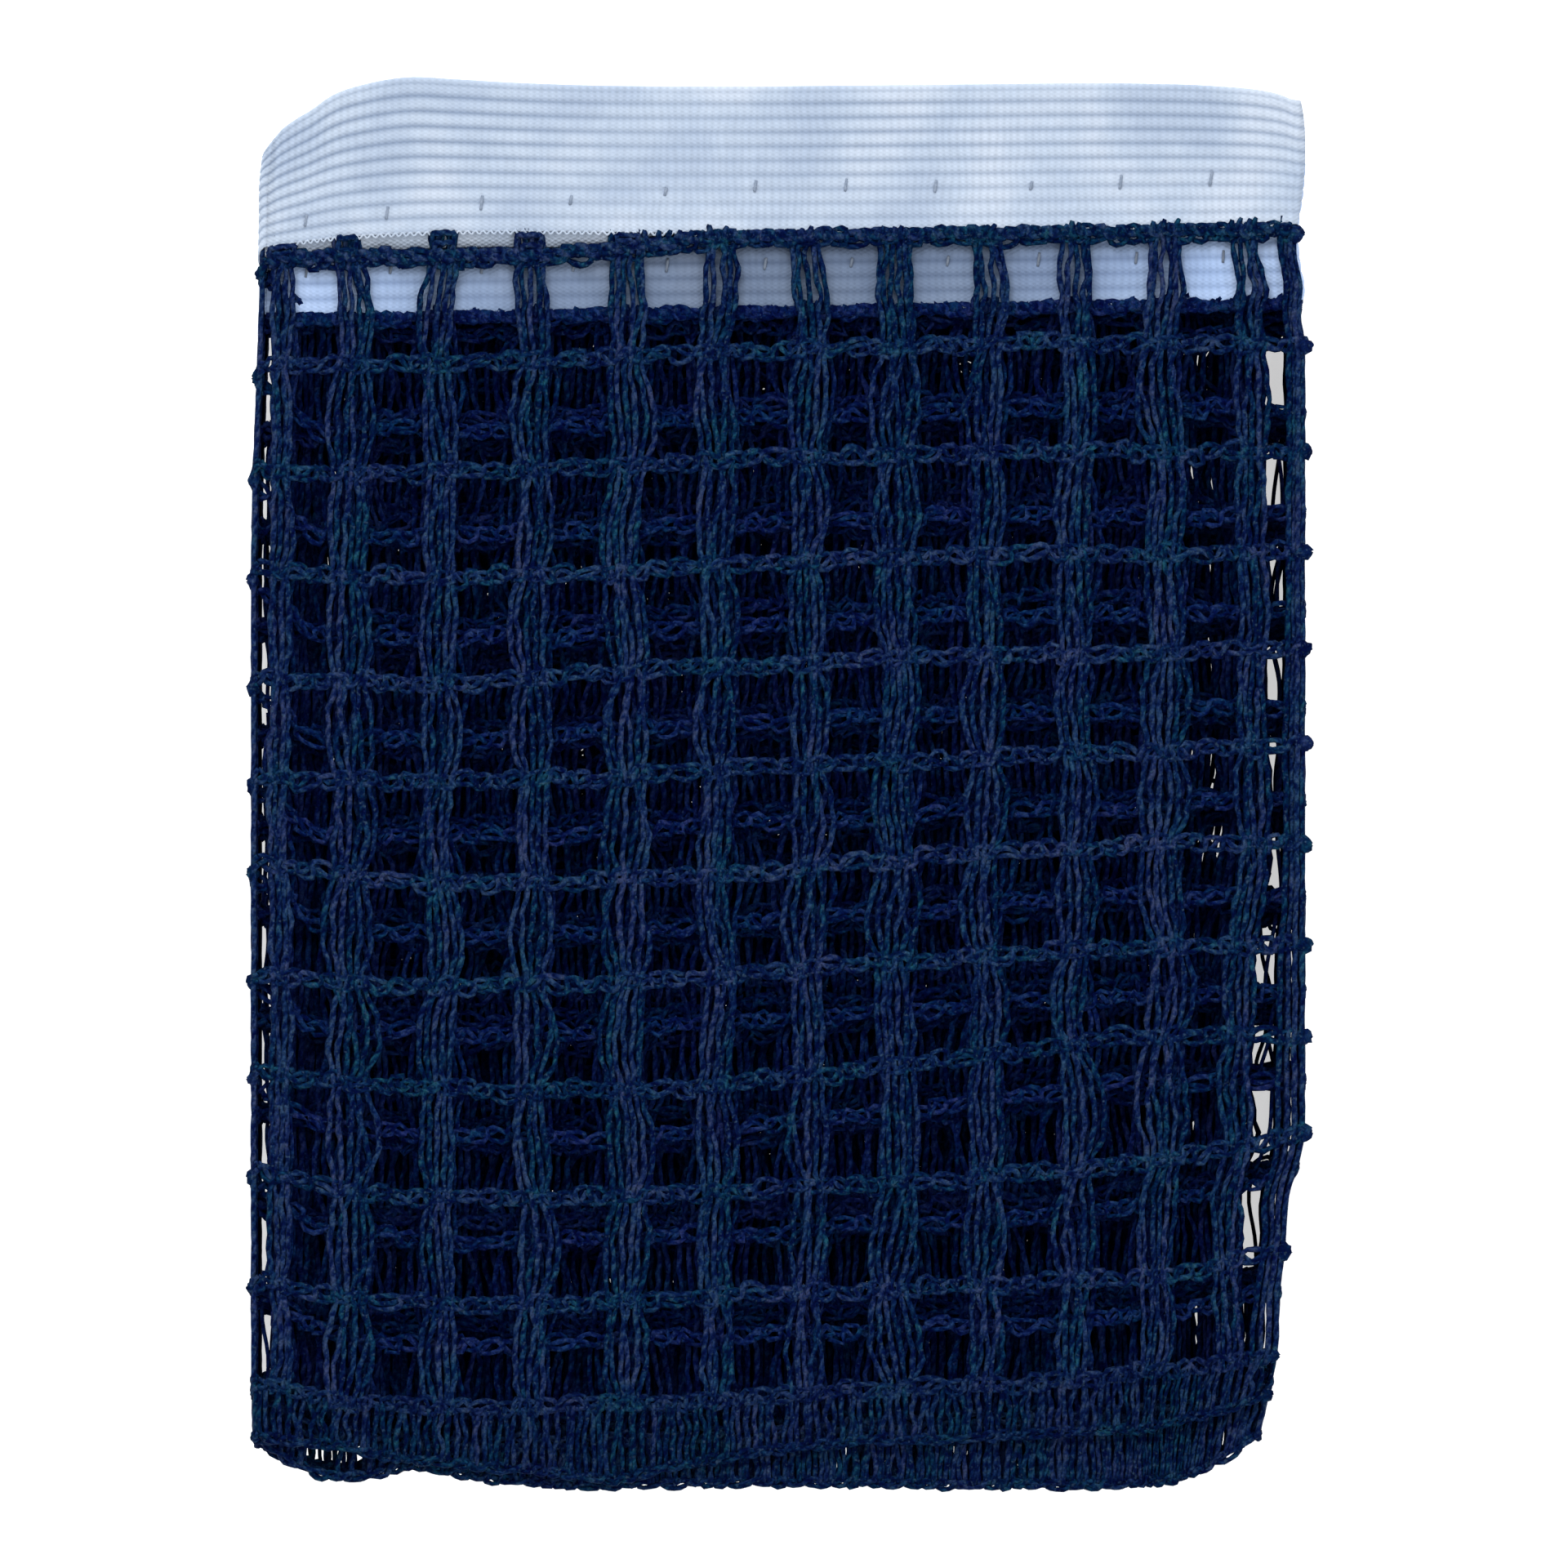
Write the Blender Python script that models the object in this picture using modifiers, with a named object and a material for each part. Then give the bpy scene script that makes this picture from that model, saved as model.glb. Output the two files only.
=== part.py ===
"""A table-tennis net, folded flat in zigzag into a pack of sixteen panels.

The pack lies on its back: +X runs to the right along the tape, +Y runs up the
net from the bottom band to the white tape, and +Z comes out of the front panel.
The origin is the centre of the pack's footprint, at the height it rests on.
Panel 1 is the front (top) panel and panel 16 the back one. Panel k and panel
k + 1 meet at a fold on the left when k is odd and on the right when k is even.
"""

import bmesh
import bpy

# ---------------------------------------------------------------- dimensions
PANELS = 16                # lengths of net between folds
FOLD_X = 0.0584            # fold lines, either side of the middle
END_GAP = 0.0005           # a panel stops this far short of its fold line
HALF_X = FOLD_X - END_GAP  # half the length of a panel
LAYER_PITCH = 0.00125      # from one layer to the next

TAPE_THICK = 0.0010        # both leaves of the tape, pressed flat
NETTING_THICK = 0.0006
BAND_THICK = 0.0010
BAND_HEIGHT = 0.0067
JOIN_GAP = 0.0003          # between two pieces that touch

FRONT_TOP = 0.07785        # top edge of the front panel's tape
FRONT_TAPE_LOW = 0.0606    # lower edge of the front panel's tape, at mid length
FRONT_BOTTOM = -0.0737     # bottom of the front panel's band, at mid length
SECOND_BOTTOM = -0.0769    # the second panel hangs lowest
INNER_TOP = 0.0700         # panels 2 to 16 have slipped down by this much less
INNER_TAPE_LOW = 0.0528
INNER_BOTTOM = -0.0739

FRONT_LEAN = 0.0012        # rise of the front rows from mid length to the right end
INNER_LEAN = 0.0009
LEFT_SHOULDER = (0.0135, 0.0076, 1.5)   # run, drop and power of the tape's left corner
RIGHT_SHOULDER = (0.0120, 0.0031, 2.0)

CELL_COLUMNS = 12          # cells along a panel
CELL_ROWS = 11             # cells up a panel
RIBBON_WIDTH = 0.0042      # upright ribbons of yarn
CHAIN_HEIGHT = 0.0025      # knitted chains across
OPEN_PANELS = (1, PANELS)  # the two outer panels, whose cells are cut

WHITE = (0.74, 0.80, 0.89, 1.0)
NAVY = (0.012, 0.025, 0.075, 1.0)
DEEP_NAVY = (0.010, 0.020, 0.062, 1.0)


# ---------------------------------------------------------------- helpers
def lean(panel, x):
    """How far a row has climbed at x, on the slanted rows of a panel."""
    return (FRONT_LEAN if panel == 1 else INNER_LEAN) * x / HALF_X


def tape_low(panel, x):
    return (FRONT_TAPE_LOW if panel == 1 else INNER_TAPE_LOW) + lean(panel, x)


def bottom(panel, x):
    """Lower edge of the bottom band. The inner ones end at slightly different heights."""
    if panel == 1:
        base = FRONT_BOTTOM
    elif panel == 2:
        base = SECOND_BOTTOM - 0.00005
    else:
        base = INNER_BOTTOM + 0.0004 * ((panel * 7) % 5 - 2) / 2
    return base + INNER_LEAN * x / HALF_X


def layer_z(panel):
    """Middle of a layer: panel 16 lies at the bottom and panel 1 on top."""
    return TAPE_THICK / 2 + (PANELS - panel) * LAYER_PITCH


def shoulder(x, shape, end):
    """Drop of the tape's top edge near one end."""
    run, drop, power = shape
    inward = abs(end - x)
    return drop * max(0.0, 1.0 - inward / run) ** power


def stretch(start, stop, count):
    return [start + (stop - start) * i / (count - 1) for i in range(count)]


def wipe():
    for thing in list(bpy.data.objects):
        bpy.data.objects.remove(thing, do_unlink=True)
    for group in list(bpy.data.collections):
        bpy.data.collections.remove(group)


def material(name, colour, roughness):
    made = bpy.data.materials.new(name)
    made.use_nodes = True
    shader = made.node_tree.nodes["Principled BSDF"]
    shader.inputs["Base Color"].default_value = colour
    shader.inputs["Roughness"].default_value = roughness
    shader.inputs["Metallic"].default_value = 0.0
    made.diffuse_color = colour
    return made


def flat_piece(name, outline, thick, z, look, collection):
    """A closed flat solid of that outline, centred on its layer."""
    curve = bpy.data.curves.new(name, "CURVE")
    curve.dimensions = "2D"
    curve.fill_mode = "BOTH"
    curve.extrude = thick / 2
    spline = curve.splines.new("POLY")
    spline.points.add(len(outline) - 1)
    for point, (x, y) in zip(spline.points, outline):
        point.co = (x, y, 0.0, 1.0)
    spline.use_cyclic_u = True
    curve.materials.append(look)
    piece = bpy.data.objects.new(name, curve)
    piece.location = (0.0, 0.0, z)
    collection.objects.link(piece)
    return piece


# ---------------------------------------------------------------- outlines
def tape_outline(panel):
    """The tape, both leaves together. The front one has the slanting corners of a slipped fold."""
    if panel > 1:
        return [
            (-HALF_X, tape_low(panel, -HALF_X)),
            (HALF_X, tape_low(panel, HALF_X)),
            (HALF_X, INNER_TOP),
            (-HALF_X, INNER_TOP),
        ]
    left, right = -HALF_X, HALF_X
    edge = [(left, tape_low(1, left)), (right, tape_low(1, right))]
    for x in reversed(stretch(right - RIGHT_SHOULDER[0], right, 7)):
        edge.append((x, FRONT_TOP - shoulder(x, RIGHT_SHOULDER, right)))
    for x in reversed(stretch(left, left + LEFT_SHOULDER[0], 9)):
        edge.append((x, FRONT_TOP - shoulder(x, LEFT_SHOULDER, left)))
    return edge


def band_outline(panel):
    return [
        (-HALF_X, bottom(panel, -HALF_X)),
        (HALF_X, bottom(panel, HALF_X)),
        (HALF_X, bottom(panel, HALF_X) + BAND_HEIGHT),
        (-HALF_X, bottom(panel, -HALF_X) + BAND_HEIGHT),
    ]


def netting_edges(panel):
    """The netting's lower and upper edges, as functions of x, between band and tape."""

    def low(x):
        return bottom(panel, x) + BAND_HEIGHT + JOIN_GAP

    def high(x):
        return tape_low(panel, x) - JOIN_GAP

    return low, high


def netting_outline(panel):
    low, high = netting_edges(panel)
    return [(-HALF_X, low(-HALF_X)), (HALF_X, low(HALF_X)), (HALF_X, high(HALF_X)), (-HALF_X, high(-HALF_X))]


def open_netting(name, panel, z, look, collection):
    """Netting with its cells: a sheet of quads that skips each cell, given its thickness by Solidify."""
    low, high = netting_edges(panel)
    middles = stretch(-HALF_X + RIBBON_WIDTH / 2, HALF_X - RIBBON_WIDTH / 2, CELL_COLUMNS + 1)
    columns = [x + side * RIBBON_WIDTH / 2 for x in middles for side in (-1, 1)]

    def rows(x):
        rise = (high(x) - low(x) - CHAIN_HEIGHT) / CELL_ROWS
        return [low(x) + j * rise + side * CHAIN_HEIGHT for j in range(CELL_ROWS + 1) for side in (0, 1)]

    sheet = bmesh.new()
    grid = [[sheet.verts.new((x, y, 0.0)) for y in rows(x)] for x in columns]
    for i in range(len(grid) - 1):
        for j in range(len(grid[i]) - 1):
            if i % 2 == 0 or j % 2 == 0:
                sheet.faces.new((grid[i][j], grid[i + 1][j], grid[i + 1][j + 1], grid[i][j + 1]))
    mesh = bpy.data.meshes.new(name)
    sheet.to_mesh(mesh)
    sheet.free()
    mesh.materials.append(look)
    piece = bpy.data.objects.new(name, mesh)
    solid = piece.modifiers.new("thickness", "SOLIDIFY")
    solid.thickness = NETTING_THICK
    solid.offset = 0.0
    piece.location = (0.0, 0.0, z)
    collection.objects.link(piece)
    return piece


# ---------------------------------------------------------------- build
def main():
    wipe()
    scene = bpy.context.scene
    scene.unit_settings.system = "METRIC"
    net = bpy.data.collections.new("folded_table_tennis_net")
    scene.collection.children.link(net)
    white = material("tape_weave", WHITE, 0.85)
    navy = material("netting_yarn", NAVY, 0.8)
    deep = material("band_yarn", DEEP_NAVY, 0.85)

    # One empty for each panel, on the fold that the panel turns about. The back
    # panel turns about nothing, so its empty stands at the origin.
    pivots = {}
    for panel in range(PANELS, 0, -1):
        pivot = bpy.data.objects.new(f"panel_{panel:02d}_pivot", None)
        pivot.empty_display_size = 0.01
        net.objects.link(pivot)
        if panel == PANELS:
            place = (0.0, 0.0, 0.0)
        else:
            side = -1.0 if panel % 2 else 1.0
            place = (side * FOLD_X, 0.0, (layer_z(panel) + layer_z(panel + 1)) / 2)
        pivots[panel] = (pivot, place)
        if panel < PANELS:
            carrier, carrier_place = pivots[panel + 1]
            pivot.parent = carrier
            pivot.location = [a - b for a, b in zip(place, carrier_place)]
        else:
            pivot.location = place

    for panel in range(1, PANELS + 1):
        z = layer_z(panel)
        name = f"netting_{panel:02d}"
        if panel in OPEN_PANELS:
            netting = open_netting(name, panel, z, navy, net)
        else:
            netting = flat_piece(name, netting_outline(panel), NETTING_THICK, z, navy, net)
        pieces = [
            flat_piece(f"tape_{panel:02d}", tape_outline(panel), TAPE_THICK, z, white, net),
            netting,
            flat_piece(f"bottom_band_{panel:02d}", band_outline(panel), BAND_THICK, z, deep, net),
        ]
        pivot, place = pivots[panel]
        for piece in pieces:
            piece.parent = pivot
            piece.location = (-place[0], -place[1], z - place[2])


main()
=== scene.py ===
"""The looks of the table-tennis net that lies folded in zigzag.

Every yarn is a tube. The net is worked out as one strip: a yarn that runs along
the net goes through a panel, round the bend at its end and on through the next
panel, and the strip is then cut into one piece for each panel and one for each
bend. Lengths are in millimetres until a mesh is made.

In a strip, m is the distance from the cloth's middle along one and the same face
of the cloth, so it points up (+Z) on odd panels and down on even ones.
"""

import math  # noqa: E402

import bpy  # noqa: E402
import numpy as np  # noqa: E402
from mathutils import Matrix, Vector  # noqa: E402


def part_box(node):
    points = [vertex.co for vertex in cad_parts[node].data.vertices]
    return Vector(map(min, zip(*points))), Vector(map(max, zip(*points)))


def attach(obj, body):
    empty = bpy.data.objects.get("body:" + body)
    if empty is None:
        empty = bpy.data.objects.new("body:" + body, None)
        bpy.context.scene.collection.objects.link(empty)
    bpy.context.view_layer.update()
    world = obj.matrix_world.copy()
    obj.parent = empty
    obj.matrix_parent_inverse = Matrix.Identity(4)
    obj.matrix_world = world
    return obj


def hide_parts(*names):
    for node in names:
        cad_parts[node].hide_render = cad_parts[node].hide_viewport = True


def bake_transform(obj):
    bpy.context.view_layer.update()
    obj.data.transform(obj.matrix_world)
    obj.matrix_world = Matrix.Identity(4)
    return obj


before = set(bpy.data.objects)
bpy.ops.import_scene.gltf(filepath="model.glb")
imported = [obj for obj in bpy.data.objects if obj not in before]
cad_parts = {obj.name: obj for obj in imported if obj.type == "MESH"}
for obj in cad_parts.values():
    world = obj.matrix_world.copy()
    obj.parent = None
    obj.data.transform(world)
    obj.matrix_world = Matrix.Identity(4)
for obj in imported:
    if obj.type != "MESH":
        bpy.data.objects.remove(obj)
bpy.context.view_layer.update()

# ------------------------------------------------------------------ the strip
PANELS = 16
FOLD_X = 58.4              # the fold axes
BEND_X = 57.3              # a panel ends here and its bend begins
LAYER = {k: sum(c.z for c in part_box(f"tape_{k:02d}")) * 500 for k in range(1, PANELS + 1)}
PITCH = LAYER[1] - LAYER[2]
BEND_R = PITCH / 2
BEND_LENGTH = math.pi * BEND_R
SEED = 20

# ------------------------------------------------------------------ yarn
YARN_R = 0.325
CHAIN_R = 0.33
CHAIN_SWING = 0.72         # half the height of a chain's stitches, to the yarns' middles
HEM_SWING = 0.40
CHAIN_RISE = 0.22
CHAIN_STITCH = 3.9         # two stitches, which lie one each way
PLY_TURN = 2.9             # a yarn's two strands twist once in this length
COLUMNS = (-55.0, -47.3, -37.3, -27.1, -16.7, -6.8, 3.3, 13.0, 22.8, 32.8, 42.5, 52.0)
# The open slit between the last ribbon and the right end, by height: its middle and half its width.
SLIT = (
    (-80.0, 55.0, 0.0), (-60.0, 54.9, 0.0), (-51.0, 54.6, 0.75), (-38.0, 53.9, 0.85), (-26.0, 54.0, 0.90), (-18.0, 54.2, 0.85),
    (-11.0, 55.1, 0.42), (6.0, 55.1, 0.44), (16.0, 55.2, 0.62), (28.0, 55.2, 0.70), (44.0, 55.25, 0.70), (62.0, 55.2, 0.7),
)

# ------------------------------------------------------------------ rows
# Height at mid length, lean, sag and two finer terms, over half a panel's length.
FRONT_ROWS = (
    (59.8, 1.2, -0.1, -0.1, 0.0),
    (47.9, 2.2, -1.0, -1.1, 0.5),
    (36.0, 2.3, -1.5, -1.4, 1.3),
    (24.5, 2.9, -1.6, -2.0, 1.9),
    (13.4, 3.0, -2.0, -1.3, 2.1),
    (1.9, 3.0, -0.7, -1.3, 1.6),
    (-9.4, 4.5, 1.4, -3.4, 0.4),
    (-20.5, 4.3, 0.5, -2.8, 0.9),
    (-32.5, 5.7, 4.7, -3.8, -1.9),
    (-44.5, 3.0, 0.1, -0.8, 4.1),
    (-56.1, 2.7, -1.4, -1.2, 4.5),
    (-67.3, 3.3, -0.2, -1.7, 3.0),
)
ROWS = len(FRONT_ROWS)     # rows 0 to 11; row 12 is the hem
HEM = ROWS
FRONT_HEM = (
    (-57.5, -71.6), (-50.0, -72.7), (-43.0, -73.9), (-35.0, -74.9), (-28.0, -75.6), (-22.0, -76.1),
    (-17.0, -76.2), (-11.0, -75.0), (-4.0, -73.9), (4.0, -72.8), (13.0, -72.2), (22.0, -71.8),
    (31.0, -71.5), (40.0, -70.9), (47.5, -70.0), (53.5, -68.5), (57.5, -67.2),
)
SECOND_HEM = (
    (-57.5, -73.0), (-55.2, -74.4), (-53.4, -75.1), (-49.8, -76.1), (-45.3, -76.1), (-40.8, -75.1),
    (-36.0, -75.8), (-31.8, -76.4), (-22.8, -77.2), (-13.8, -77.0), (0.0, -76.9), (20.0, -77.1),
    (40.0, -77.0), (46.0, -76.6), (50.0, -75.8), (54.0, -74.2), (57.5, -71.6),
)
INNER_HEM = ((-57.5, -72.2), (-40.0, -72.6), (0.0, -72.5), (30.0, -72.0), (45.0, -70.9), (57.5, -69.8))
TAPE_TOP = (
    (-57.5, 70.8), (-56.7, 71.9), (-54.9, 73.3), (-53.0, 74.3), (-50.6, 75.7), (-45.3, 77.3),
    (-40.8, 78.0), (-36.0, 77.8), (-31.0, 77.5), (-22.8, 77.15), (-5.0, 77.0), (20.0, 77.2),
    (40.0, 77.3), (49.2, 77.0), (53.7, 76.6), (56.0, 76.1), (57.5, 75.4),
)
FRONT_CORD = (
    (-57.5, 57.8), (-50.0, 58.05), (-35.0, 58.15), (-25.0, 58.35), (-20.0, 58.7), (-15.0, 59.3), (-8.0, 60.1),
    (5.0, 60.4), (30.0, 60.75), (57.5, 61.1),
)
TAPE_LOW = ((-57.5, 59.3), (-50.0, 60.2), (-42.0, 60.7), (-7.0, 60.85), (15.0, 61.0), (35.0, 61.3), (57.5, 61.8))
INNER_TOP, INNER_LOW, INNER_LEAN = 70.0, 52.8, 0.9
# How far the ends are pulled in, at each height.
PULL_RIGHT = (
    (-80.0, 5.6), (-74.0, 5.1), (-71.0, 4.7), (-68.0, 4.0), (-62.0, 3.0), (-57.0, 2.8), (-50.0, 2.1),
    (-45.0, 1.7), (-42.0, 0.7), (-38.5, 0.0), (-20.0, 0.0), (46.0, 0.0), (49.0, 0.0), (52.0, 0.5), (55.0, 0.2), (57.0, 0.6), (61.5, 0.9), (65.0, 0.4), (68.5, 0.1), (74.0, 0.3), (78.0, 1.2),
)
PULL_LEFT = (
    (-80.0, 0.4), (-75.0, 0.2), (-70.0, 0.0), (0.0, 0.0), (30.0, 0.1), (40.0, 0.4), (50.0, 0.8), (62.0, 1.0),
    (67.0, 1.1), (70.0, 1.5), (80.0, 1.6),
)


def random(*key):
    return np.random.default_rng([SEED, *key])


def through(knots, t):
    """A smooth curve through knots, an increasing list of pairs."""
    kt, kv = (np.array(c, float) for c in zip(*knots))
    slope = np.gradient(kv, kt)
    t = np.asarray(t, float)
    i = np.clip(np.searchsorted(kt, t) - 1, 0, len(kt) - 2)
    h = kt[i + 1] - kt[i]
    u = np.clip((t - kt[i]) / h, 0.0, 1.0)
    return (
        (2 * u**3 - 3 * u**2 + 1) * kv[i]
        + (u**3 - 2 * u**2 + u) * h * slope[i]
        + (3 * u**2 - 2 * u**3) * kv[i + 1]
        + (u**3 - u**2) * h * slope[i + 1]
    )


def wobble(key, t, size, lengths):
    """A gentle irregular wave of that size, from a few sines."""
    draw = random(*key)
    return size * sum(np.sin(2 * np.pi * np.asarray(t, float) / w + draw.uniform(0, 6.3)) for w in lengths) / len(lengths)


def step(t):
    t = np.clip(t, 0.0, 1.0)
    return t * t * (3 - 2 * t)


def inside(x):
    """1 in the middle of a panel and 0 towards its ends, where the layers lie in register."""
    return 1 - step((np.abs(x) - 42.5) / 9.5)


def slip_along(k):
    """How far a layer's ribbons have slipped along the pack: the deeper ones lie all over the cells."""
    return {1: 0.0, 2: 0.5, 3: -1.3, 4: 1.9}.get(k, ((k - 5) * 5 % 12 - 5.5) / 5.5 * 5.0)


def slip_across(k, r):
    if k < 5:
        return 1.3 * (-1) ** (k + r)
    return ((k * 7 + r * 5) % 12 - 5.5) / 5.5 * 4.6


def slit(y):
    """Where the open slit near the right end begins and stops, at each height."""
    middle = through([(a, b) for a, b, _ in SLIT], y)
    half = through([(a, c) for a, _, c in SLIT], y)
    return middle - half, middle + half


def side_of(k):
    """The side of the fold between panels k and k + 1."""
    return -1.0 if k % 2 else 1.0


def face(k):
    return 1.0 if k % 2 else -1.0


def front_row(r, x):
    u = np.asarray(x, float) / 57.5
    return sum(c * u**n for n, c in enumerate(FRONT_ROWS[r]))


def loose_row(k, r, x):
    """Height of a row on a panel, before neighbouring panels are joined at their fold."""
    x = np.asarray(x, float)
    if k == 1:
        if r == 0:
            return through(FRONT_CORD, x) - 0.35 + wobble((1, r, 1), x, 0.12, (19.0, 12.0))
        y = front_row(r, x) if r < HEM else through(FRONT_HEM, x)
        return y + wobble((1, r, 1), x, 0.30, (33.0, 19.0, 12.0))
    if k == 2:
        y = front_row(r, x) - 7.65 + 3.6 * r / 11 if r < HEM else through(SECOND_HEM, x)
        return y + wobble((2, r, 1), x, 0.45 if r < HEM else 0.1, (31.0, 17.0, 13.0))
    draw = random(k, r, 2)
    slip = slip_across(k, r) * (1.0 if r < 10 else 0.3)
    hem = through(INNER_HEM, x)
    if k in (3, 4, 5, 6):
        hem = through(SECOND_HEM, x) + (0.35, 0.75, 0.5, 1.0)[k - 3] + wobble((k, 14), x, 0.2, (23.0, 15.0))
    if r == HEM:
        return hem + (0.1 if k < 7 else 0.35) * draw.uniform(-1, 1)
    if r == HEM - 1:
        return hem + 5.9 + 0.4 * draw.uniform(-1, 1)
    rise = {8: 0.3, 9: 0.9, 10: 1.8}.get(r, 0.0)
    if r == 0:
        rise = -0.8 * (k % 4) * step((x - 40.0) / 8.0)
    near = 0.45 * draw.uniform(-1, 1)
    if r < 8:
        near = near - 2.9 * ((k * 5 + r * 3) % 7) / 6 * step((x - 46.0) / 7.0)
    y = front_row(r, x) - 7.65 + 3.6 * r / 11 + rise + near + slip * inside(x)
    return y + wobble((k, r, 3), x, 0.6, (37.0, 21.0, 14.0))


def tape_low_loose(k, x):
    if k == 1:
        return through(TAPE_LOW, x)
    return INNER_LOW + INNER_LEAN * np.asarray(x, float) / 57.5 - 0.12 * (k % 3)


def tape_top_loose(k, x):
    if k == 1:
        return through(TAPE_TOP, x)
    x = np.asarray(x, float)
    return INNER_TOP - 0.15 * ((k * 5) % 4) + wobble((k, 90), x, 0.15, (60.0, 33.0)) - 1.8 * step((-x - 52.5) / 5.0)


def joined(loose, k, x, run=7.0):
    """That height on panel k, led up to the panel before it at the fold between them."""
    x = np.asarray(x, float)
    if k == 1:
        return loose(1, x)
    end = side_of(k - 1) * BEND_X
    jump = loose(k - 1, np.array(end)) - loose(k, np.array(end))
    return loose(k, x) + 0.65 * jump * (1 - step(np.abs(end - x) / run))


def row(k, r, x):
    return joined(lambda n, t: loose_row(n, r, t), k, x)


def tape_low(k, x):
    return joined(tape_low_loose, k, x, 3.4)


def tape_top(k, x):
    return joined(tape_top_loose, k, x, 3.4)


def reach(k):
    """How far a bend stands out, as a share of a full half circle: the inner ones are pressed flatter."""
    return {1: 1.0, 2: 0.95}.get(k, 0.62)


def bend_x(k, out, angle):
    return side_of(k) * (BEND_X + reach(k) * out * np.cos(angle))


def round_bend(height, k, share):
    """A height on the bend between panels k and k + 1, share going from 0 to 1 round it."""
    end = side_of(k) * BEND_X
    return height(k, end) + (height(k + 1, end) - height(k, end)) * step(share)


def pulled(points):
    """The ends of the pack are pulled in a little, most at the lower right corner."""
    x, y = points[..., 0], points[..., 1]
    right = step((x - 34.0) / 22.0) * np.maximum(through(PULL_RIGHT, y), 0.0)
    left = step((-x - 44.0) / 12.0) * np.maximum(through(PULL_LEFT, y), 0.0)
    moved = points.copy()
    moved[..., 0] = x - right + left
    return moved


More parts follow.
